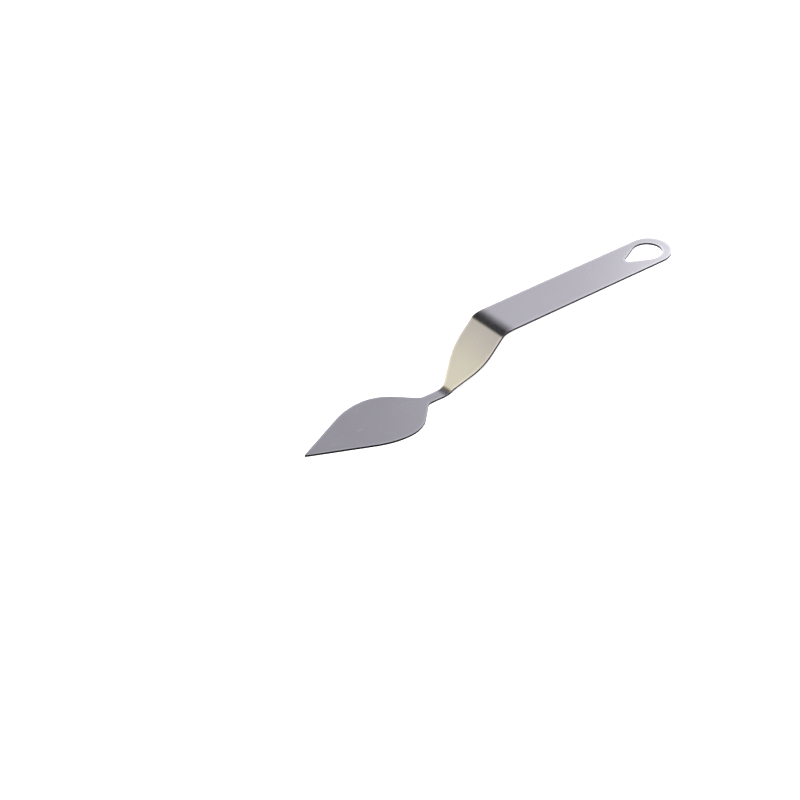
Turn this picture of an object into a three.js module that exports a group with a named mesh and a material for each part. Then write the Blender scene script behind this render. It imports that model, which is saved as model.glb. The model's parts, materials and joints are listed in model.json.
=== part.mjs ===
// Cranked palette knife with a leaf-shaped blade, made from one blank of sheet steel.
// The blank is stamped flat, hanging hole included, and bent twice: up out of the neck and level
// again into the handle. Its formed sections are separate solids that meet face to face where the
// sheet is flat and level: blade, neck, crank and handle.
//
// Millimetres. X runs along the knife, from the blade's tip at -X to the handle's end at +X, and
// Y across it. Z is up, and the underside of the blade lies on Z = 0. The origin is under the
// middle of the knife's length and width.
import * as THREE from "three";

// ---- Driving dimensions ----

const SHEET = 1.0; // thickness of the sheet

// Reaches along X, measured to the bend lines, where the sheet's flats would meet if unrounded.
const BLADE_REACH = 79.5; // blade tip to lower bend
const CRANK_RISE = 25; // from the blade's plane up to the handle's plane
const CRANK_ANGLE = Math.PI / 4; // slope of the crank
const HANDLE_REACH = 100.5; // upper bend to the handle's end
const BEND_INSIDE_RADIUS = 5.5; // both bends
const LEVEL_BESIDE_BEND = 0.75; // level sheet that the crank keeps beyond each bend

// Blade outline, half of it, from the tip back to the neck.
const BLADE_HALF_WIDTH = 17;
const FLANK_ANGLE = THREE.MathUtils.degToRad(24.6); // straight edge, against the knife's axis
const TIP_RADIUS = 0.4;
const BELLY_RADIUS = 38; // curve from the straight edge to the widest point
const SHOULDER_RADIUS = 20.5; // curve from the widest point towards the neck
const HEEL_ANGLE = THREE.MathUtils.degToRad(45); // straight heel, against the knife's axis
const HEEL_FILLET = 4.5; // hollow curve from the heel into the neck

// Neck and crank outline.
const NECK_HALF_WIDTH = 2.75;
const NECK_STUB = 2.5; // straight neck that belongs to the blade
const FLARE_START = 0.7; // up the slope from the lower bend line, where the neck begins to widen
const FLARE_ANGLE = THREE.MathUtils.degToRad(26); // steepest part of the crank's outline
const FLARE_HOLLOW_RADIUS = 7; // curve out of the neck
const FLARE_CROWN_RADIUS = 30; // curve into the crank's parallel sides

// Handle and its hanging hole, a teardrop that points at the blade.
const HANDLE_ROOT_HALF_WIDTH = 10.5; // at the crank
const HANDLE_END_RADIUS = 10; // full round end, which the sides narrow to
const HOLE_TO_END = 11.1; // centre of the hole's round part to the handle's end
const HOLE_RADIUS = 6.6;
const HOLE_POINT_TO_END = 23; // the teardrop's point to the handle's end
const HOLE_POINT_RADIUS = 1.8;

// Segments in each curve.
const OUTLINE_ARC_STEPS = 18;
const END_ARC_STEPS = 32;
const POINT_ARC_STEPS = 10;
const BEND_STEPS = 12;
const SLOPE_STEPS = 36;

// ---- Places along the knife ----

const OVERALL = BLADE_REACH + CRANK_RISE / Math.tan(CRANK_ANGLE) + HANDLE_REACH;
const TIP_X = -OVERALL / 2;
const END_X = OVERALL / 2;
const LOWER_BEND_X = TIP_X + BLADE_REACH;
const UPPER_BEND_X = END_X - HANDLE_REACH;
const BEND_RADIUS = BEND_INSIDE_RADIUS + SHEET / 2; // at the middle of the sheet
const BEND_SETBACK = BEND_RADIUS * Math.tan(CRANK_ANGLE / 2); // bend line to the bend's start
const CRANK_START_X = LOWER_BEND_X - BEND_SETBACK - LEVEL_BESIDE_BEND;
const CRANK_END_X = UPPER_BEND_X + BEND_SETBACK + LEVEL_BESIDE_BEND;
const SLOPE_LENGTH = CRANK_RISE / Math.sin(CRANK_ANGLE) - 2 * BEND_SETBACK; // between the bends

// ---- Outlines ----

const point = (x, y) => new THREE.Vector2(x, y);

// A stretch of arc about a centre, as steps + 1 points. Angles turn from +X towards +Y.
function arc(centre, radius, from, to, steps) {
  const curve = new THREE.EllipseCurve(centre.x, centre.y, radius, radius, from, to, to < from);
  return curve.getPoints(steps);
}

// A closed shape from its half outline, which runs from one end to the other with Y >= 0.
function mirroredShape(half) {
  const other = half
    .filter((p) => p.y > 0)
    .reverse()
    .map((p) => point(p.x, -p.y));
  return new THREE.Shape([...half, ...other]);
}

// Half of the blade: round tip, straight edge, belly, shoulder, straight heel and fillet.
function bladeHalfOutline() {
  const upright = Math.PI / 2;
  const tipCentre = point(TIP_X + TIP_RADIUS, 0);
  const apexX = tipCentre.x - TIP_RADIUS / Math.sin(FLANK_ANGLE); // where the two edges would meet

  const bellyStartY = BLADE_HALF_WIDTH - BELLY_RADIUS * (1 - Math.cos(FLANK_ANGLE));
  const widestX = apexX + bellyStartY / Math.tan(FLANK_ANGLE) + BELLY_RADIUS * Math.sin(FLANK_ANGLE);
  const bellyCentre = point(widestX, BLADE_HALF_WIDTH - BELLY_RADIUS);
  const shoulderCentre = point(widestX, BLADE_HALF_WIDTH - SHOULDER_RADIUS);

  const heelStartX = widestX + SHOULDER_RADIUS * Math.sin(HEEL_ANGLE);
  const heelStartY = shoulderCentre.y + SHOULDER_RADIUS * Math.cos(HEEL_ANGLE);
  const heelEndY = NECK_HALF_WIDTH + HEEL_FILLET * (1 - Math.cos(HEEL_ANGLE));
  const heelEndX = heelStartX + (heelStartY - heelEndY) / Math.tan(HEEL_ANGLE);
  const neckX = heelEndX + HEEL_FILLET * Math.sin(HEEL_ANGLE);
  const filletCentre = point(neckX, NECK_HALF_WIDTH + HEEL_FILLET);

  return [
    ...arc(tipCentre, TIP_RADIUS, Math.PI, upright + FLANK_ANGLE, POINT_ARC_STEPS),
    ...arc(bellyCentre, BELLY_RADIUS, upright + FLANK_ANGLE, upright, OUTLINE_ARC_STEPS),
    ...arc(shoulderCentre, SHOULDER_RADIUS, upright, upright - HEEL_ANGLE, OUTLINE_ARC_STEPS).slice(1),
    ...arc(filletCentre, HEEL_FILLET, -upright - HEEL_ANGLE, -upright, OUTLINE_ARC_STEPS),
    point(neckX + NECK_STUB, NECK_HALF_WIDTH),
  ];
}

// Half of the handle: a side that narrows slightly and runs tangent into the full round end.
function handleHalfOutline() {
  const endCentre = point(END_X - HANDLE_END_RADIUS, 0);
  const run = endCentre.x - CRANK_END_X;
  const reach = Math.hypot(run, HANDLE_ROOT_HALF_WIDTH);
  const taper = Math.acos(HANDLE_END_RADIUS / reach) - Math.atan2(run, HANDLE_ROOT_HALF_WIDTH);
  return [
    point(CRANK_END_X, HANDLE_ROOT_HALF_WIDTH),
    ...arc(endCentre, HANDLE_END_RADIUS, Math.PI / 2 - taper, 0, END_ARC_STEPS),
  ];
}

// The teardrop: a large arc and a small one, joined by the two lines that touch both.
function hangingHole() {
  const round = point(END_X - HOLE_TO_END, 0);
  const tip = point(END_X - HOLE_POINT_TO_END + HOLE_POINT_RADIUS, 0);
  const lean = Math.asin((HOLE_RADIUS - HOLE_POINT_RADIUS) / (round.x - tip.x));
  const touch = Math.PI / 2 + lean; // where the upper line touches both arcs
  return new THREE.Path([
    ...arc(round, HOLE_RADIUS, -touch, touch, 2 * END_ARC_STEPS),
    ...arc(tip, HOLE_POINT_RADIUS, touch, 2 * Math.PI - touch, POINT_ARC_STEPS),
  ]);
}

// ---- The crank, laid out flat and bent ----

// Half-width of the flat crank at a distance from the slope's lower end, which is negative in the
// lower bend. The neck leaves in a hollow curve, flares in a straight line and rounds into
// parallel sides.
function crankHalfWidth(distance) {
  const x = distance + BEND_SETBACK - FLARE_START; // from where the flare starts
  const hollowX = FLARE_HOLLOW_RADIUS * Math.sin(FLARE_ANGLE);
  const hollowY = NECK_HALF_WIDTH + FLARE_HOLLOW_RADIUS * (1 - Math.cos(FLARE_ANGLE));
  const crownY = HANDLE_ROOT_HALF_WIDTH - FLARE_CROWN_RADIUS * (1 - Math.cos(FLARE_ANGLE));
  const crownX = hollowX + (crownY - hollowY) / Math.tan(FLARE_ANGLE);
  const fullX = crownX + FLARE_CROWN_RADIUS * Math.sin(FLARE_ANGLE);
  if (x <= 0) {
    return NECK_HALF_WIDTH;
  }
  if (x < hollowX) {
    return NECK_HALF_WIDTH + FLARE_HOLLOW_RADIUS - Math.sqrt(FLARE_HOLLOW_RADIUS ** 2 - x ** 2);
  }
  if (x < crownX) {
    return hollowY + (x - hollowX) * Math.tan(FLARE_ANGLE);
  }
  if (x < fullX) {
    const drop = FLARE_CROWN_RADIUS - Math.sqrt(FLARE_CROWN_RADIUS ** 2 - (fullX - x) ** 2);
    return HANDLE_ROOT_HALF_WIDTH - drop;
  }
  return HANDLE_ROOT_HALF_WIDTH;
}

// Cross-sections of the crank from the neck to the handle. Each gives the middle of the sheet
// (x, z), the angle that the sheet slopes at there, and half of its width.
function crankStations() {
  const lowZ = SHEET / 2;
  const highZ = lowZ + CRANK_RISE;
  const lowerBend = [];
  const upperBend = [];
  for (let i = 0; i <= BEND_STEPS; i += 1) {
    const slope = (CRANK_ANGLE * i) / BEND_STEPS;
    const along = BEND_RADIUS * Math.sin(slope);
    const away = BEND_RADIUS * (1 - Math.cos(slope));
    lowerBend.push({
      x: LOWER_BEND_X - BEND_SETBACK + along,
      z: lowZ + away,
      slope,
      half: crankHalfWidth(BEND_RADIUS * (slope - CRANK_ANGLE)),
    });
    upperBend.unshift({
      x: UPPER_BEND_X + BEND_SETBACK - along,
      z: highZ - away,
      slope,
      half: HANDLE_ROOT_HALF_WIDTH,
    });
  }
  const foot = lowerBend.at(-1);
  const climb = [];
  for (let i = 1; i < SLOPE_STEPS; i += 1) {
    const distance = (SLOPE_LENGTH * i) / SLOPE_STEPS;
    climb.push({
      x: foot.x + distance * Math.cos(CRANK_ANGLE),
      z: foot.z + distance * Math.sin(CRANK_ANGLE),
      slope: CRANK_ANGLE,
      half: crankHalfWidth(distance),
    });
  }
  return [
    { x: CRANK_START_X, z: lowZ, slope: 0, half: NECK_HALF_WIDTH },
    ...lowerBend,
    ...climb,
    ...upperBend,
    { x: CRANK_END_X, z: highZ, slope: 0, half: HANDLE_ROOT_HALF_WIDTH },
  ];
}

// A strip of sheet that follows the stations: a box with one slice per station, bent to them.
function bentStrip(stations) {
  const slices = stations.length - 1;
  const strip = new THREE.BoxGeometry(1, 1, 1, slices, 1, 1);
  const vertices = strip.getAttribute("position");
  for (let i = 0; i < vertices.count; i += 1) {
    const { x, z, slope, half } = stations[Math.round((vertices.getX(i) + 0.5) * slices)];
    const across = 2 * half * vertices.getY(i);
    const outward = SHEET * vertices.getZ(i); // through the sheet, from its middle
    vertices.setXYZ(i, x - outward * Math.sin(slope), across, z + outward * Math.cos(slope));
  }
  strip.computeVertexNormals();
  return strip;
}

// A level piece of sheet, cut to a shape, with its underside at Z = 0 of its own mesh.
function levelSheet(shape) {
  return new THREE.ExtrudeGeometry(shape, { depth: SHEET, bevelEnabled: false });
}

// ---- Assembly ----

const knife = new THREE.Group();

function addSection(name, geometry, underside = 0) {
  const steel = new THREE.MeshStandardMaterial({ color: 0xa9a8ad, metalness: 1, roughness: 0.38 });
  const mesh = new THREE.Mesh(geometry, steel);
  mesh.name = name;
  mesh.position.z = underside;
  knife.add(mesh);
}

const bladeOutline = bladeHalfOutline();
const neckStart = bladeOutline.at(-1);
const neckOutline = [neckStart, point(CRANK_START_X, NECK_HALF_WIDTH)];
const handleShape = mirroredShape(handleHalfOutline());
handleShape.holes.push(hangingHole());

addSection("blade", levelSheet(mirroredShape(bladeOutline)));
addSection("neck", levelSheet(mirroredShape(neckOutline)));
addSection("crank", bentStrip(crankStations()));
addSection("handle", levelSheet(handleShape), CRANK_RISE);

export default knife;
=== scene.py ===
"""Looks of the cranked palette knife: one blank of satin stainless sheet, stamped out and bent twice.

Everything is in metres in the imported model's frame: X from the blade's tip to the handle's end, Y
across the knife and Z up. Each CAD section is replaced by a finer mesh of the same shape, with the
rounded and sheared edge that stamping and tumbling leave. Sections meet face to face where the sheet
is level or all but level.
"""

import json
import math

import bmesh
import bpy
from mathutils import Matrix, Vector


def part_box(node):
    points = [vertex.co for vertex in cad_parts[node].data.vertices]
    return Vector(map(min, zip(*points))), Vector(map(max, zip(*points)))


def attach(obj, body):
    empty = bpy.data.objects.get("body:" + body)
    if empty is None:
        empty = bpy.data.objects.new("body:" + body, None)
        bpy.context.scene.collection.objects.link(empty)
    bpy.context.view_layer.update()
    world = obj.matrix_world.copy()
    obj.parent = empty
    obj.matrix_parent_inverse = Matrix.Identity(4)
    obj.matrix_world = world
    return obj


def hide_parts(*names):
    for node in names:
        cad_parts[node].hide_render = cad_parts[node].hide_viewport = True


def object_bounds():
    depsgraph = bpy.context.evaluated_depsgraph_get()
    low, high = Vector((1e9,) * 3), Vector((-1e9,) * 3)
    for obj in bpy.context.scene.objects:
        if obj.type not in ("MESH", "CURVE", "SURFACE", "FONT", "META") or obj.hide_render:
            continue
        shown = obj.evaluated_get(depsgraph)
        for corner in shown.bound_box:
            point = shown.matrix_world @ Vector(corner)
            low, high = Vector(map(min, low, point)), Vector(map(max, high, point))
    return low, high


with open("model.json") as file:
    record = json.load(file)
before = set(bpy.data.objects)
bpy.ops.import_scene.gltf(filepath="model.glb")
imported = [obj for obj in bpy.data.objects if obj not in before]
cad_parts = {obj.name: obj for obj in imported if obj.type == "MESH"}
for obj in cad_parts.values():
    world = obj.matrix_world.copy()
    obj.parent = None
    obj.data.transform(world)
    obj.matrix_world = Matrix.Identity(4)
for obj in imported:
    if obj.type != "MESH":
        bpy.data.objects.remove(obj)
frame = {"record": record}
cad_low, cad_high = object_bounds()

MM = 0.001
UPRIGHT = math.pi / 2

# ---- Sizes and places from the frame ----

blade_low, blade_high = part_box("blade")
neck_low, neck_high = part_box("neck")
crank_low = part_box("crank")[0]
handle_low, handle_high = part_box("handle")

SHEET = blade_high.z - blade_low.z
TIP_X = blade_low.x
NECK_START_X = neck_low.x
CRANK_START_X = crank_low.x
HANDLE_START_X = handle_low.x
END_X = handle_high.x
BLADE_HALF_WIDTH = blade_high.y
NECK_HALF_WIDTH = neck_high.y
HANDLE_ROOT_HALF_WIDTH = handle_high.y
CRANK_RISE = handle_low.z - blade_low.z

# ---- Outline, as in the CAD model ----

TIP_RADIUS = 0.4 * MM
FLANK_ANGLE = math.radians(24.6)
BELLY_RADIUS = 38 * MM
SHOULDER_RADIUS = 20.5 * MM
HEEL_ANGLE = math.radians(45)
HEEL_FILLET = 4.5 * MM

CRANK_ANGLE = math.radians(45)
LOWER_BEND_TO_START = 3.2353 * MM  # bend line to the crank's lower end
FLARE_START = 0.7 * MM  # up the slope from the lower bend line
FLARE_ANGLE = math.radians(26)
FLARE_HOLLOW_RADIUS = 7 * MM
FLARE_CROWN_RADIUS = 30 * MM

HANDLE_END_RADIUS = 10 * MM
HOLE_TO_END = 11.1 * MM
HOLE_RADIUS = 6.6 * MM
HOLE_POINT_TO_END = 23 * MM
HOLE_POINT_RADIUS = 1.8 * MM
EYE_MARGIN = 4 * MM  # plain handle between its even rows and the hole's point

# ---- Edge that stamping leaves ----

DIE_ROLL = 0.09 * MM  # rounding of the upper edge
BURNISHED = 0.35 * MM  # upright, smooth part of the cut below it
BREAK_TAPER = 0.03 * MM  # how far the torn part leans inwards
BURR_RADIUS = 0.04 * MM  # lower edge, tumbled smooth
RIM_WIDTH = 1.5 * MM  # brighter margin of the faces, where tumbling rubs the most
BEND_BULGE = 0.08 * MM  # how far a bend's edges swell on its squeezed side, and shrink on the other

# ---- Fineness of the meshes ----

ARC_STEP = 0.7 * MM
STRAIGHT_STEP = 2.0 * MM
BEND_STEP = 0.2 * MM
LINE_STEP = 0.02 * MM
TIP_STEPS = 8
COLUMNS = 14
DIE_ROLL_STEPS = 5
BURR_STEPS = 3
END_ARC_STEPS = 60
EYE_SIDE_STEPS = 10
EYE_RINGS = 5
WELD = 1e-7


# ---- Outlines: lists of (x, y, normal x, normal y), with the normal pointing away from the metal ----


def arc(centre_x, centre_y, radius, start, end, steps=None, hollow=False):
    """Points along an arc. A hollow arc has its centre outside the metal."""
    steps = steps or max(2, round(abs(end - start) * radius / ARC_STEP))
    sign = -1 if hollow else 1
    made = []
    for i in range(steps + 1):
        angle = start + (end - start) * i / steps
        along, across = math.cos(angle), math.sin(angle)
        place = (centre_x + radius * along, centre_y + radius * across)
        made.append((*place, sign * along, sign * across))
    return made


def straight(start, end, steps=None):
    """Points between two outline points, without the two themselves."""
    length = math.dist(start[:2], end[:2])
    steps = steps or max(1, math.ceil(length / STRAIGHT_STEP))
    return [tuple(a + (b - a) * i / steps for a, b in zip(start, end)) for i in range(1, steps)]


def joined(*stretches):
    """Stretches of outline as one list, with long straights filled in and no point given twice."""
    made = []
    for stretch in stretches:
        for p in stretch:
            if made and math.dist(made[-1][:2], p[:2]) < WELD:
                continue
            if made and math.dist(made[-1][:2], p[:2]) > STRAIGHT_STEP:
                made += straight(made[-1], p)
            made.append(p)
    return made


def blade_outline():
    """Half of the blade from its tip: flank, belly, shoulder, heel and the fillet into the neck."""
    apex_x = TIP_X + TIP_RADIUS - TIP_RADIUS / math.sin(FLANK_ANGLE)
    belly_start_y = BLADE_HALF_WIDTH - BELLY_RADIUS * (1 - math.cos(FLANK_ANGLE))
    widest_x = apex_x + belly_start_y / math.tan(FLANK_ANGLE) + BELLY_RADIUS * math.sin(FLANK_ANGLE)
    shoulder_y = BLADE_HALF_WIDTH - SHOULDER_RADIUS
    heel_start_x = widest_x + SHOULDER_RADIUS * math.sin(HEEL_ANGLE)
    heel_start_y = shoulder_y + SHOULDER_RADIUS * math.cos(HEEL_ANGLE)
    heel_end_y = NECK_HALF_WIDTH + HEEL_FILLET * (1 - math.cos(HEEL_ANGLE))
    heel_end_x = heel_start_x + (heel_start_y - heel_end_y) / math.tan(HEEL_ANGLE)
    neck_x = heel_end_x + HEEL_FILLET * math.sin(HEEL_ANGLE)
    fillet_y = NECK_HALF_WIDTH + HEEL_FILLET
    belly_y = BLADE_HALF_WIDTH - BELLY_RADIUS
    return joined(
        arc(TIP_X + TIP_RADIUS, 0, TIP_RADIUS, math.pi, UPRIGHT + FLANK_ANGLE, TIP_STEPS),
        arc(widest_x, belly_y, BELLY_RADIUS, UPRIGHT + FLANK_ANGLE, UPRIGHT),
        arc(widest_x, shoulder_y, SHOULDER_RADIUS, UPRIGHT, UPRIGHT - HEEL_ANGLE),
        arc(neck_x, fillet_y, HEEL_FILLET, -UPRIGHT - HEEL_ANGLE, -UPRIGHT, hollow=True),
        [(NECK_START_X, NECK_HALF_WIDTH, 0, 1)],
    )


def evenly(start, end, step):
    """Places from one to another, the last left out, no further apart than a step."""
    count = math.ceil((end - start) / step)
    return [start + (end - start) * i / count for i in range(count)]


def neck_outline():
    """Half of the neck: a strip with parallel sides."""
    places = [*evenly(NECK_START_X, CRANK_START_X, BEND_STEP), CRANK_START_X]
    return [(x, NECK_HALF_WIDTH, 0, 1) for x in places]


# ---- The line that the blank is bent to ----
#
# Places along the flat blank are its own x: on the blade's side of the bends they are the knife's too.

LOWER_BEND_X = CRANK_START_X + LOWER_BEND_TO_START
CORE_SHARE = 0.75  # how much of a bend's angle its tight core turns


class Bend:
    """A bend whose tight core runs out in a gentle tail on the level side, as a wiped bend does."""

    def __init__(self, core_middle, core_length, tail_middle, tail_length):
        core = (core_middle, core_length, CORE_SHARE)
        tail = (tail_middle, tail_length, 1 - CORE_SHARE)
        self.stretches = (core, tail)
        self.start = min(middle - length / 2 for middle, length, share in self.stretches)
        self.end = max(middle + length / 2 for middle, length, share in self.stretches)

    def turned(self, along):
        """Share of the whole bend that is turned at a distance past the bend line."""
        total = 0.0
        for middle, length, share in self.stretches:
            t = min(max((along - middle) / length + 0.5, 0), 1)
            total += share * t * t * (3 - 2 * t)
        return total


# Each has the middle and length of its core and of its tail, from the bend line.
LOWER_BEND = Bend(0.65 * MM, 4.0 * MM, -1.2 * MM, 5.4 * MM)
UPPER_BEND = Bend(-0.75 * MM, 4.4 * MM, 2.25 * MM, 9 * MM)


def traced(slope_at, start, end):
    """Places (x, z) from the start, where both are zero, to the end of a line with that slope."""
    count = math.ceil((end - start) / LINE_STEP)
    step = (end - start) / count
    places = [(0.0, 0.0)]
    for i in range(count):
        slope = slope_at(start + (i + 0.5) * step)
        x, z = places[-1]
        places.append((x + step * math.cos(slope), z + step * math.sin(slope)))
    return places


def placed_bends():
    """Where the bends go on the blank, so that the slope meets both level lines at the bend lines."""
    low, high = LOWER_BEND, UPPER_BEND
    run, rise = traced(lambda x: CRANK_ANGLE * low.turned(x), low.start, low.end)[-1]
    lower = LOWER_BEND_X - (low.start + run - rise / math.tan(CRANK_ANGLE))
    rise_above = traced(lambda x: CRANK_ANGLE * (1 - high.turned(x)), high.start, high.end)[-1][1]
    straight_rise = CRANK_RISE - rise - rise_above
    upper = lower + low.end + straight_rise / math.sin(CRANK_ANGLE) - high.start
    return lower, upper


LOWER_AT, UPPER_AT = placed_bends()


def slope_at(x):
    """Angle of the bent line against level, at x along the blank."""
    return CRANK_ANGLE * (LOWER_BEND.turned(x - LOWER_AT) - UPPER_BEND.turned(x - UPPER_AT))


LINE_FROM = LOWER_AT + LOWER_BEND.start
LINE_TO = UPPER_AT + UPPER_BEND.end
LINE = traced(slope_at, LINE_FROM, LINE_TO)
TAKEN_UP = LINE_TO - LINE_FROM - LINE[-1][0]  # how much shorter the bent line is along the knife
FLARE_FROM = 2 * LOWER_AT - LOWER_BEND_X + FLARE_START  # the bend takes up twice its middle's shift
CRANK_END = HANDLE_START_X + TAKEN_UP
HANDLE_END = END_X + TAKEN_UP


def bent_line(x):
    """Middle of the sheet at x along the blank: its place (x, z) and its slope."""
    level = blade_low.z + SHEET / 2
    if x <= LINE_FROM:
        return x, level, 0.0
    if x >= LINE_TO:
        return x - TAKEN_UP, level + CRANK_RISE, 0.0
    steps = (x - LINE_FROM) / (LINE_TO - LINE_FROM) * (len(LINE) - 1)
    before = min(int(steps), len(LINE) - 2)
    share = steps - before
    run = LINE[before][0] * (1 - share) + LINE[before + 1][0] * share
    rise = LINE[before][1] * (1 - share) + LINE[before + 1][1] * share
    return LINE_FROM + run, level + rise, slope_at(x)


def crank_side(x):
    """The flat crank's +Y edge at x: neck, hollow curve, straight flare, crown and parallel side."""
    hollow_end_x = FLARE_FROM + FLARE_HOLLOW_RADIUS * math.sin(FLARE_ANGLE)
    hollow_end_y = NECK_HALF_WIDTH + FLARE_HOLLOW_RADIUS * (1 - math.cos(FLARE_ANGLE))
    crown_y = HANDLE_ROOT_HALF_WIDTH - FLARE_CROWN_RADIUS * (1 - math.cos(FLARE_ANGLE))
    crown_x = hollow_end_x + (crown_y - hollow_end_y) / math.tan(FLARE_ANGLE)
    full_x = crown_x + FLARE_CROWN_RADIUS * math.sin(FLARE_ANGLE)
    if x < hollow_end_x:
        lean = math.asin(max(x - FLARE_FROM, 0) / FLARE_HOLLOW_RADIUS)
        half = NECK_HALF_WIDTH + FLARE_HOLLOW_RADIUS * (1 - math.cos(lean))
    elif x < crown_x:
        lean = FLARE_ANGLE
        half = hollow_end_y + (x - hollow_end_x) * math.tan(FLARE_ANGLE)
    else:
        lean = math.asin(max(full_x - x, 0) / FLARE_CROWN_RADIUS)
        half = HANDLE_ROOT_HALF_WIDTH - FLARE_CROWN_RADIUS * (1 - math.cos(lean))
    return x, half, -math.sin(lean), math.cos(lean)


def crank_outline():
    """Half of the crank laid out flat, with close rows in its bends."""
    slope_from = LOWER_AT + LOWER_BEND.end
    slope_to = UPPER_AT + UPPER_BEND.start
    places = evenly(CRANK_START_X, slope_from, BEND_STEP)
    places += evenly(slope_from, slope_to, ARC_STEP)
    places += evenly(slope_to, CRANK_END, BEND_STEP)
    return [crank_side(x) for x in (*places, CRANK_END)]


def handle_taper():
    """Angle of the handle's sides against its axis, which makes them run tangent into the round end."""
    run = HANDLE_END - HANDLE_END_RADIUS - CRANK_END
    reach = math.hypot(run, HANDLE_ROOT_HALF_WIDTH)
    return math.acos(HANDLE_END_RADIUS / reach) - math.atan2(run, HANDLE_ROOT_HALF_WIDTH)


def handle_side(x):
    """The handle's +Y edge at x."""
    taper = handle_taper()
    beyond = x - (HANDLE_END - HANDLE_END_RADIUS)
    half = (HANDLE_END_RADIUS - beyond * math.sin(taper)) / math.cos(taper)
    return x, half, math.sin(taper), math.cos(taper)


def bend_strain(bend, bend_at, x):
    """How hard a bend works the sheet at x along the blank: 1 where it is half turned, 0 outside it."""
    turned = bend.turned(x - bend_at)
    return 4 * turned * (1 - turned)


def bend_swelling(x, height):
    """How far the edge of a bend stands out, at x along the blank and a height in the sheet."""
    lower = bend_strain(LOWER_BEND, LOWER_AT, x)
    upper = bend_strain(UPPER_BEND, UPPER_AT, x)
    from_middle = 2 * height / SHEET - 1
    return BEND_BULGE * from_middle * (lower - upper)


# ---- From the flat blank to the formed sheet ----


def edge_profile():
    """The cut edge from the top face down: (inset, height, normal's tilt from up, share of cut)."""
    made = []
    for i in range(DIE_ROLL_STEPS + 1):
        tilt = UPRIGHT * i / DIE_ROLL_STEPS
        inset = DIE_ROLL * (1 - math.sin(tilt))
        made.append((inset, SHEET - DIE_ROLL * (1 - math.cos(tilt)), tilt, i / DIE_ROLL_STEPS))
    made.append((0.0, SHEET - DIE_ROLL - BURNISHED, UPRIGHT, 1.0))
    for i in range(BURR_STEPS + 1):
        tilt = UPRIGHT + UPRIGHT * i / BURR_STEPS
        inset = BREAK_TAPER + BURR_RADIUS * (1 - math.sin(tilt))
        cut = 1.0 if i < BURR_STEPS else 0.0
        made.append((inset, BURR_RADIUS * (1 + math.cos(tilt)), tilt, cut))
    return made


PROFILE = edge_profile()
TOP_INSET = PROFILE[0][0]
UNDER_INSET = PROFILE[-1][0]


def formed(x, y, height, normal, cut, rim):
    """A point of the blank on the formed knife: (position, normal, shares of cut, rim and strain).

    The strain is that of the lower bend, which works the narrow neck the hardest.
    """
    place_x, place_z, slope = bent_line(x)
    outward = height - SHEET / 2
    position = (place_x - outward * math.sin(slope), y, place_z + outward * math.cos(slope))
    turned = (
        normal[0] * math.cos(slope) - normal[2] * math.sin(slope),
        normal[1],
        normal[0] * math.sin(slope) + normal[2] * math.cos(slope),
    )
    return position, turned, (cut, rim, bend_strain(LOWER_BEND, LOWER_AT, x))


def edge_points(outline_point, side=1):
    """The cut edge at one outline point, from top to bottom. side is -1 for the mirrored side."""
    x, y, normal_x, normal_y = outline_point
    made = []
    for inset, height, tilt, cut in PROFILE:
        across = y - normal_y * inset + normal_y * bend_swelling(x, height)
        normal = (normal_x * math.sin(tilt), side * normal_y * math.sin(tilt), math.cos(tilt))
        made.append(formed(x - normal_x * inset, side * across, height, normal, cut, 1.0))
    return made


def face_point(x, y, top, rim=0.0):
    """A point on the sheet's top face or its underside."""
    height = SHEET if top else 0.0
    return formed(x, y, height, (0, 0, 1 if top else -1), 0.0, rim)


def columns(half):
    """Places across a face between its two edges, from +Y to -Y: one beside each edge and even ones."""
    plain = half - min(RIM_WIDTH, half / 2)
    return [plain * (1 - 2 * i / COLUMNS) for i in range(COLUMNS + 1)]


def spread(outline_point, top):
    """Points across a face between its edges at one outline point, from +Y to -Y, ends left out."""
    inset = TOP_INSET if top else UNDER_INSET
    x = outline_point[0] - outline_point[2] * inset
    half = outline_point[1] - outline_point[3] * inset
    return [face_point(x, y, top) for y in columns(half)]


def section_loop(outline_point):
    """One closed cross-section: down the +Y edge, across the underside, up the -Y edge, back on top."""
    return (
        edge_points(outline_point)
        + spread(outline_point, top=False)
        + edge_points(outline_point, side=-1)[::-1]
        + spread(outline_point, top=True)[::-1]
    )


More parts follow.
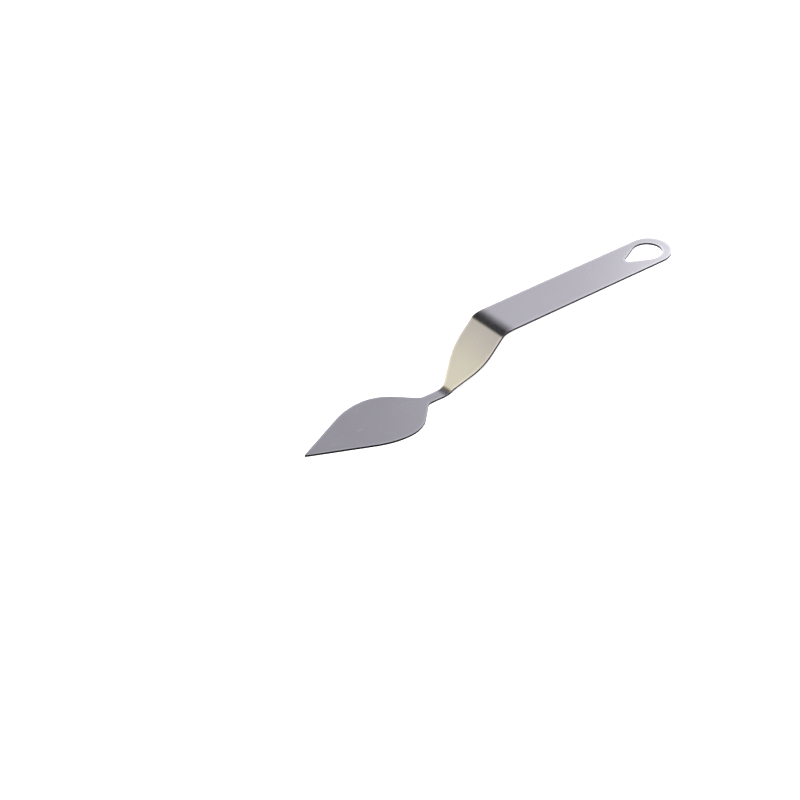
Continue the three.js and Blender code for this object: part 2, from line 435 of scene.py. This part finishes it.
class SheetMesh:
    """Collects grids of points and makes one closed mesh of them, with the normals that they state."""

    def __init__(self):
        self.mesh = bmesh.new()
        self.normal = self.mesh.verts.layers.float_vector.new("stated_normal")
        self.cut = self.mesh.verts.layers.float.new("cut_edge")
        self.rim = self.mesh.verts.layers.float.new("rim")
        self.strain = self.mesh.verts.layers.float.new("bend_strain")
        self.flat = self.mesh.faces.layers.int.new("flat_face")

    def vertex(self, made):
        position, normal, (cut, rim, strain) = made
        vertex = self.mesh.verts.new(position)
        vertex[self.normal] = Vector(normal)
        vertex[self.cut] = cut
        vertex[self.rim] = rim
        vertex[self.strain] = strain
        return vertex

    def grid(self, rows, closed=False):
        """Quads between neighbouring rows of points, and round each row where it is closed."""
        vertices = [[self.vertex(p) for p in row] for row in rows]
        count = len(rows[0])
        for here, there in zip(vertices, vertices[1:]):
            for i in range(count if closed else count - 1):
                j = (i + 1) % count
                self.mesh.faces.new((here[i], here[j], there[j], there[i]))
        return vertices

    def cap(self, vertices):
        """A flat face where a section ends."""
        face = self.mesh.faces.new(vertices)
        face[self.flat] = 1

    def finished(self, name, material):
        bmesh.ops.remove_doubles(self.mesh, verts=self.mesh.verts, dist=WELD)
        bmesh.ops.recalc_face_normals(self.mesh, faces=self.mesh.faces)
        data = bpy.data.meshes.new(name)
        self.mesh.to_mesh(data)
        self.mesh.free()
        stated = data.attributes["stated_normal"].data
        flat = data.attributes["flat_face"].data
        normals = [None] * len(data.loops)
        for polygon in data.polygons:
            polygon.use_smooth = True
            for i in polygon.loop_indices:
                own = stated[data.loops[i].vertex_index].vector
                normals[i] = polygon.normal.copy() if flat[polygon.index].value else own.copy()
        data.normals_split_custom_set(normals)
        data.attributes.remove(data.attributes["stated_normal"])
        data.attributes.remove(data.attributes["flat_face"])
        data.materials.append(material)
        piece = bpy.data.objects.new(name, data)
        bpy.context.scene.collection.objects.link(piece)
        return piece


def lofted(sheet, outline, capped_start, capped_end):
    """A run of cross-sections along an outline."""
    rows = sheet.grid([section_loop(p) for p in outline], closed=True)
    if capped_start:
        sheet.cap(rows[0])
    if capped_end:
        sheet.cap(rows[-1])


# ---- The handle's round end with its teardrop hole ----


def eye_outer(start_x):
    """Outline round the handle's end, from +Y to -Y, in the same steps as the hole."""
    turn = UPRIGHT - handle_taper()
    round_end = arc(HANDLE_END - HANDLE_END_RADIUS, 0, HANDLE_END_RADIUS, turn, -turn, END_ARC_STEPS)
    x, half, normal_x, normal_y = handle_side(start_x)
    start = (x, half, normal_x, normal_y)
    end = (x, -half, normal_x, -normal_y)
    out = straight(start, round_end[0], EYE_SIDE_STEPS)
    back = straight(round_end[-1], end, EYE_SIDE_STEPS)
    return [start, *out, *round_end, *back, end]


def eye_hole():
    """The teardrop from the upper end of its small arc, round the large arc and along the small one."""
    round_x = HANDLE_END - HOLE_TO_END
    small_x = HANDLE_END - HOLE_POINT_TO_END + HOLE_POINT_RADIUS
    touch = UPRIGHT + math.asin((HOLE_RADIUS - HOLE_POINT_RADIUS) / (round_x - small_x))
    large = arc(round_x, 0, HOLE_RADIUS, touch, -touch, END_ARC_STEPS, hollow=True)
    small = arc(small_x, 0, HOLE_POINT_RADIUS, 2 * math.pi - touch, touch, COLUMNS + 2, hollow=True)
    out = straight(small[-1], large[0], EYE_SIDE_STEPS)
    back = straight(large[-1], small[0], EYE_SIDE_STEPS)
    return [small[-1], *out, *large, *back, *small[:-1]]


def eye_face(outer, hole, top):
    """Rings of points on one face, from the handle's edge to the hole's."""
    inset = TOP_INSET if top else UNDER_INSET
    around = [(x - normal_x * inset, y - normal_y * inset) for x, y, normal_x, normal_y in outer]
    edge_count = len(around)
    row_x, row_y = around[0]
    around += [(row_x, -y) for y in columns(row_y)]
    inner = [(x - normal_x * inset, y - normal_y * inset) for x, y, normal_x, normal_y in hole]
    rings = [[face_point(x, y, top, float(i < edge_count)) for i, (x, y) in enumerate(around)]]
    for i in range(EYE_RINGS + 1):
        ring = []
        for a, b in zip(around, inner):
            beside = RIM_WIDTH / math.dist(a, b)
            share = beside + (1 - 2 * beside) * i / EYE_RINGS
            ring.append(face_point(a[0] + (b[0] - a[0]) * share, a[1] + (b[1] - a[1]) * share, top))
        rings.append(ring)
    rings.append([face_point(x, y, top, 1.0) for x, y in inner])
    return rings


# ---- Finish ----

STEEL_SLOT = "satin_steel"

# Noises over the metal: how fine, how many layers of detail, and scale along X, Y and Z.
CLOUDS = (55, 3, (1, 1, 1))
MOTTLE = (900, 4, (1, 1, 1))
GRAIN = (5200, 2, (1, 1, 1))
BRUSHING = (4000, 2, (0.02, 1, 1))
SPECKS = (380, 0, (0.35, 1, 1))

NOISE_RANGE = (0.3, 0.7)  # what a noise mostly keeps to
NOISE_SUM_RANGE = (0.7, 1.3)  # the same for two noises together
EDGE_NOISE_RANGE = (0.35, 0.65)  # narrower, so that the cut edges are more broken in tone
SPECK_RANGE = (0.78, 0.84)  # only the peaks of a noise
CLOUD_SHARE = 0.6  # of the faces' tone; the mottle makes the rest
BRUSHING_SHARE = 0.5  # of the grain's height
SPECK_STRENGTH = 0.25

DARK_TONE = 0.96  # against the colour that the record states
LIGHT_TONE = 1.03
RUBBED_TONE = 1.28

# The cut edge's darker and lighter colour: partly the torn metal's own darker tone, partly painted
# shade. The blade's edge is darker still, a painted contact shadow.
BLADE_EDGE_PAINTED_SHADOW = ((0.003, 0.003, 0.003, 1), (0.006, 0.006, 0.006, 1))
OTHER_EDGE_WITH_PAINTED_SHADE = ((0.01, 0.01, 0.011, 1), (0.024, 0.023, 0.025, 1))
BLADE_SHADOW_FADE = 4 * MM  # over which the blade edge's painted contact shadow fades out, before the neck
CUT_RANGE = (0.05, 0.3)  # share of cut in which a face turns into an edge

FACE_ROUGHNESS = (0.22, 0.28)
EDGE_ROUGHNESS = 0.45
WORKED_ROUGHNESS = 0.06  # added where a bend worked the surface hardest
RELIEF = 0.0007 * MM  # height of the grain


class Nodes:
    """Adds nodes to a tree and links them by socket."""

    def __init__(self, tree):
        self.tree = tree

    def add(self, kind, inputs=None, **settings):
        node = self.tree.nodes.new(kind)
        for name, value in settings.items():
            setattr(node, name, value)
        for socket, value in (inputs or {}).items():
            if isinstance(value, bpy.types.NodeSocket):
                self.tree.links.new(value, node.inputs[socket])
            else:
                node.inputs[socket].default_value = value
        return node

    def mix(self, factor, a, b):
        """One colour carried to another. Sockets 6, 7 and output 2 are the node's colour ones."""
        return self.add("ShaderNodeMix", {0: factor, 6: a, 7: b}, data_type="RGBA").outputs[2]

    def ranged(self, value, source, target, kind="LINEAR"):
        """A value carried from one range to another and held within it."""
        inputs = {0: value, 1: source[0], 2: source[1], 3: target[0], 4: target[1]}
        return self.add("ShaderNodeMapRange", inputs, interpolation_type=kind).outputs[0]

    def smooth_share(self, value, source):
        """0 to 1 across a range, with a smooth start and end."""
        return self.ranged(value, source, (0, 1), "SMOOTHSTEP")

    def maths(self, operation, a, b):
        """One number from two."""
        return self.add("ShaderNodeMath", {0: a, 1: b}, operation=operation).outputs[0]


def satin_steel(record):
    """Stainless sheet with a fine matt grain, faint brushing along the knife and darker cut edges,
    partly their own tone and partly painted shade.
    """
    stated = next(m for m in record["materials"] if m["slot"] == STEEL_SLOT)
    colour = Vector(stated["base_color"])
    material = bpy.data.materials.new(STEEL_SLOT)
    material.use_nodes = True
    nodes = Nodes(material.node_tree)
    shader = material.node_tree.nodes["Principled BSDF"]
    place = nodes.add("ShaderNodeTexCoord").outputs["Object"]

    def noise(scale, detail, stretch):
        moved = nodes.add("ShaderNodeMapping", {"Vector": place, "Scale": stretch}).outputs[0]
        inputs = {"Vector": moved, "Scale": scale, "Detail": detail}
        return nodes.add("ShaderNodeTexNoise", inputs).outputs[0]

    def attribute(name):
        return nodes.add("ShaderNodeAttribute", attribute_name=name).outputs["Fac"]

    clouds = noise(*CLOUDS)
    mottle = noise(*MOTTLE)

    cloud_tone = nodes.ranged(clouds, NOISE_RANGE, (0, CLOUD_SHARE))
    mottle_tone = nodes.ranged(mottle, NOISE_RANGE, (0, 1 - CLOUD_SHARE))
    tone = nodes.maths("ADD", cloud_tone, mottle_tone)
    dark, light, rubbed = ((*(colour * share), 1) for share in (DARK_TONE, LIGHT_TONE, RUBBED_TONE))
    specks = nodes.ranged(noise(*SPECKS), SPECK_RANGE, (0, SPECK_STRENGTH))
    face = nodes.mix(specks, nodes.mix(tone, dark, light), rubbed)
    face = nodes.mix(nodes.smooth_share(attribute("rim"), (0, 1)), face, rubbed)

    edge_tone = nodes.ranged(mottle, EDGE_NOISE_RANGE, (0, 1))
    # The blade's edge is darker than the others as painted contact shadow where the blade lies on the
    # floor; it fades towards the neck.
    along = nodes.add("ShaderNodeSeparateXYZ", {0: place}).outputs["X"]
    past_blade_shadow = nodes.ranged(along, (NECK_START_X - BLADE_SHADOW_FADE, NECK_START_X), (0, 1))
    # Cut edges take a near-black colour: partly the torn metal's darker tone, partly painted shade.
    edge = nodes.mix(past_blade_shadow, nodes.mix(edge_tone, *BLADE_EDGE_PAINTED_SHADOW), nodes.mix(edge_tone, *OTHER_EDGE_WITH_PAINTED_SHADE))
    edge_share = nodes.smooth_share(attribute("cut_edge"), CUT_RANGE)
    nodes.tree.links.new(nodes.mix(edge_share, face, edge), shader.inputs["Base Color"])

    both_noises = nodes.maths("ADD", mottle, clouds)
    unworked = nodes.ranged(both_noises, NOISE_SUM_RANGE, FACE_ROUGHNESS)
    worked = nodes.maths("MULTIPLY", attribute("bend_strain"), WORKED_ROUGHNESS)
    face_roughness = nodes.maths("ADD", unworked, worked)
    roughness = nodes.ranged(edge_share, (0, 1), (face_roughness, EDGE_ROUGHNESS))
    nodes.tree.links.new(roughness, shader.inputs["Roughness"])

    brushed = nodes.maths("MULTIPLY", noise(*BRUSHING), BRUSHING_SHARE)
    relief = nodes.maths("ADD", noise(*GRAIN), brushed)
    bump_inputs = {"Height": relief, "Strength": 1.0, "Distance": RELIEF}
    bump = nodes.add("ShaderNodeBump", bump_inputs).outputs[0]
    nodes.tree.links.new(bump, shader.inputs["Normal"])
    shader.inputs["Metallic"].default_value = 1.0
    return material


# ---- Pieces ----


def add_piece(sheet, node, material):
    """Puts a finished mesh in the place of a CAD section."""
    piece = sheet.finished(node + "_sheet", material)
    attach(piece, "root")
    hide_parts(node)


def make_run(node, outline, capped_start, material):
    """A piece that is one run of cross-sections, cut off square where the next piece begins."""
    sheet = SheetMesh()
    lofted(sheet, outline, capped_start, capped_end=True)
    add_piece(sheet, node, material)


def make_handle(material):
    """The strip as a run of cross-sections, and its round end as edges and faces around the hole."""
    sheet = SheetMesh()
    eye_start = HANDLE_END - HOLE_POINT_TO_END - EYE_MARGIN
    root = [handle_side(x) for x in evenly(CRANK_END, LINE_TO, BEND_STEP)]
    root[0] = (CRANK_END, HANDLE_ROOT_HALF_WIDTH, 0, 1)
    strip = joined(root, [handle_side(eye_start)])
    lofted(sheet, strip, capped_start=True, capped_end=False)
    outer = eye_outer(eye_start)
    hole = eye_hole()
    sheet.grid([edge_points(p) for p in outer])
    sheet.grid([edge_points(p) for p in (*hole, hole[0])])
    for top in (True, False):
        sheet.grid(eye_face(outer, hole, top), closed=True)
    add_piece(sheet, "handle", material)


# ---- Studio ----

FLOOR_SIZE = 40.0  # metres
FLOOR_GAP = 0.05 * MM
FLOOR_COLOUR = (0.94, 0.94, 0.945, 1)
FLOOR_ROUGHNESS = 0.6
CAMERA_AZIMUTH = math.radians(39.8)  # from the knife's near side towards its tip
CAMERA_ELEVATION = math.radians(33.2)
CAMERA_DISTANCE = 10.0  # far off, so that the picture has almost no perspective
FRAME_WIDTH = 0.3478  # width that the picture takes in, at the knife
AIM_LEFT = 0.0376  # where the picture's middle is, from the knife's middle
AIM_DOWN = 0.0221
SENSOR_WIDTH = 36.0  # millimetres, as Blender has it

# Lamps that look at the middle of the knife: name, azimuth and elevation in degrees, distance, width
# and height in metres, radiance and colour. The warm and the left one stand close to the crank, so that
# the crank mirrors them while the rest of the knife hardly does.
SOFTBOXES = (
    ("overhead_softbox", -60, 70, 1.3, 1.0, 1.0, 2.0, (1.0, 1.0, 1.0)),
    ("long_softbox", 41.5, 36.5, 0.39, 0.142, 0.13, 0.29, (0.98, 0.97, 1.0)),
    ("end_softbox", 27.0, 28.5, 0.42, 0.15, 0.15, 0.82, (0.98, 0.975, 1.0)),
    ("warm_softbox", 133, 30, 0.136, 0.066, 0.066, 0.21, (1.0, 0.73, 0.0)),
    ("left_softbox", 141, 24, 0.136, 0.048, 0.048, 0.44, (0.95, 1.0, 0.5)),
)

# Surroundings. Heights are the Z of a direction's unit vector, 0 at the horizon and 1 overhead.
HORIZON_COLOUR = (0.85, 0.85, 0.87, 1)
SURROUND_COLOUR = (0.635, 0.623, 0.697, 1)
SURROUND_FROM_Z = (0.06, 0.22)  # heights between which the horizon's colour gives way
NEAR_COLOUR = (4.4, 4.4, 4.4, 1)
NEAR_AZIMUTH = -100  # middle of the bright near side, in degrees
NEAR_ELEVATION = 55
NEAR_COSINES = (0.56, 0.92)  # of the angles from that middle at its outer edge and at full brightness
FLAG_COLOUR = (0.01, 0.01, 0.012, 1)
FLAG_RIGHT_EDGE = (math.radians(46), math.radians(52.5))  # turned from +X towards +Z
FLAG_LEFT_EDGE = (math.radians(131.5), math.radians(125))
FLAG_NEAR_EDGE = (0.3, 0.45)  # Y of a direction's unit vector


def direction(azimuth, elevation):
    """Unit vector at degrees from +X towards +Y, and degrees above the floor."""
    turn, rise = math.radians(azimuth), math.radians(elevation)
    return Vector((math.cos(turn) * math.cos(rise), math.sin(turn) * math.cos(rise), math.sin(rise)))


def facing(obj, towards):
    """Turns a camera or a lamp at its place to look along a direction."""
    obj.rotation_mode = "QUATERNION"
    obj.rotation_quaternion = towards.to_track_quat("-Z", "Y")


def make_camera(middle):
    """A far camera at the photograph's viewing angle, with the knife where the photograph has it."""
    back = Vector((
        -math.sin(CAMERA_AZIMUTH) * math.cos(CAMERA_ELEVATION),
        -math.cos(CAMERA_AZIMUTH) * math.cos(CAMERA_ELEVATION),
        math.sin(CAMERA_ELEVATION),
    ))
    right = Vector((0, 0, 1)).cross(back).normalized()
    up = back.cross(right)
    aim = middle - right * AIM_LEFT - up * AIM_DOWN
    data = bpy.data.cameras.new("camera")
    data.sensor_width = SENSOR_WIDTH
    data.lens = SENSOR_WIDTH * CAMERA_DISTANCE / FRAME_WIDTH
    camera = bpy.data.objects.new("camera", data)
    camera.location = aim + back * CAMERA_DISTANCE
    facing(camera, -back)
    bpy.context.scene.collection.objects.link(camera)
    bpy.context.scene.camera = camera


def make_floor():
    """A plain white floor, just below the knife."""
    half = FLOOR_SIZE / 2
    z = cad_low.z - FLOOR_GAP
    data = bpy.data.meshes.new("floor")
    corners = [(-half, -half, z), (half, -half, z), (half, half, z), (-half, half, z)]
    data.from_pydata(corners, [], [(0, 1, 2, 3)])
    material = bpy.data.materials.new("floor_white")
    material.use_nodes = True
    shader = material.node_tree.nodes["Principled BSDF"]
    shader.inputs["Base Color"].default_value = FLOOR_COLOUR
    shader.inputs["Roughness"].default_value = FLOOR_ROUGHNESS
    data.materials.append(material)
    floor = bpy.data.objects.new("floor", data)
    bpy.context.scene.collection.objects.link(floor)


def make_softbox(middle, name, azimuth, elevation, distance, width, height, radiance, colour):
    """A rectangular lamp that looks at the knife, and that the camera doesn't see."""
    data = bpy.data.lights.new(name, "AREA")
    data.shape = "RECTANGLE"
    data.size = width
    data.size_y = height
    data.energy = radiance * math.pi * width * height
    data.color = colour
    lamp = bpy.data.objects.new(name, data)
    lamp.location = middle + direction(azimuth, elevation) * distance
    facing(lamp, middle - lamp.location)
    lamp.visible_camera = False
    bpy.context.scene.collection.objects.link(lamp)


def make_world():
    """Grey-lilac surroundings, paler at the horizon and bright on the near side.

    A dark flag hangs overhead on the far side. Its edges lie just outside what the level faces and the
    crank mirror, so only the bends show it.
    """
    world = bpy.data.worlds.new("studio")
    bpy.context.scene.world = world
    world.use_nodes = True
    nodes = Nodes(world.node_tree)
    background = world.node_tree.nodes["Background"]
    towards = nodes.add("ShaderNodeTexCoord").outputs["Generated"]
    x, y, z = nodes.add("ShaderNodeSeparateXYZ", {0: towards}).outputs

    surround = nodes.mix(nodes.smooth_share(z, SURROUND_FROM_Z), HORIZON_COLOUR, SURROUND_COLOUR)
    near_inputs = {0: towards, 1: direction(NEAR_AZIMUTH, NEAR_ELEVATION)}
    nearness = nodes.add("ShaderNodeVectorMath", near_inputs, operation="DOT_PRODUCT").outputs["Value"]
    lit = nodes.mix(nodes.smooth_share(nearness, NEAR_COSINES), surround, NEAR_COLOUR)

    turn = nodes.maths("ARCTAN2", z, x)
    inside_right = nodes.smooth_share(turn, FLAG_RIGHT_EDGE)
    inside_left = nodes.smooth_share(turn, FLAG_LEFT_EDGE)
    between = nodes.maths("MULTIPLY", inside_right, inside_left)
    flag = nodes.maths("MULTIPLY", between, nodes.smooth_share(y, FLAG_NEAR_EDGE))
    nodes.tree.links.new(nodes.mix(flag, lit, FLAG_COLOUR), background.inputs["Color"])


middle = (cad_low + cad_high) / 2
make_camera(middle)
make_floor()
for softbox_facts in SOFTBOXES:
    make_softbox(middle, *softbox_facts)
make_world()
bpy.context.scene.view_settings.view_transform = "Standard"

steel = satin_steel(frame["record"])
make_run("blade", blade_outline(), False, steel)
make_run("neck", neck_outline(), True, steel)
make_run("crank", crank_outline(), True, steel)
make_handle(steel)
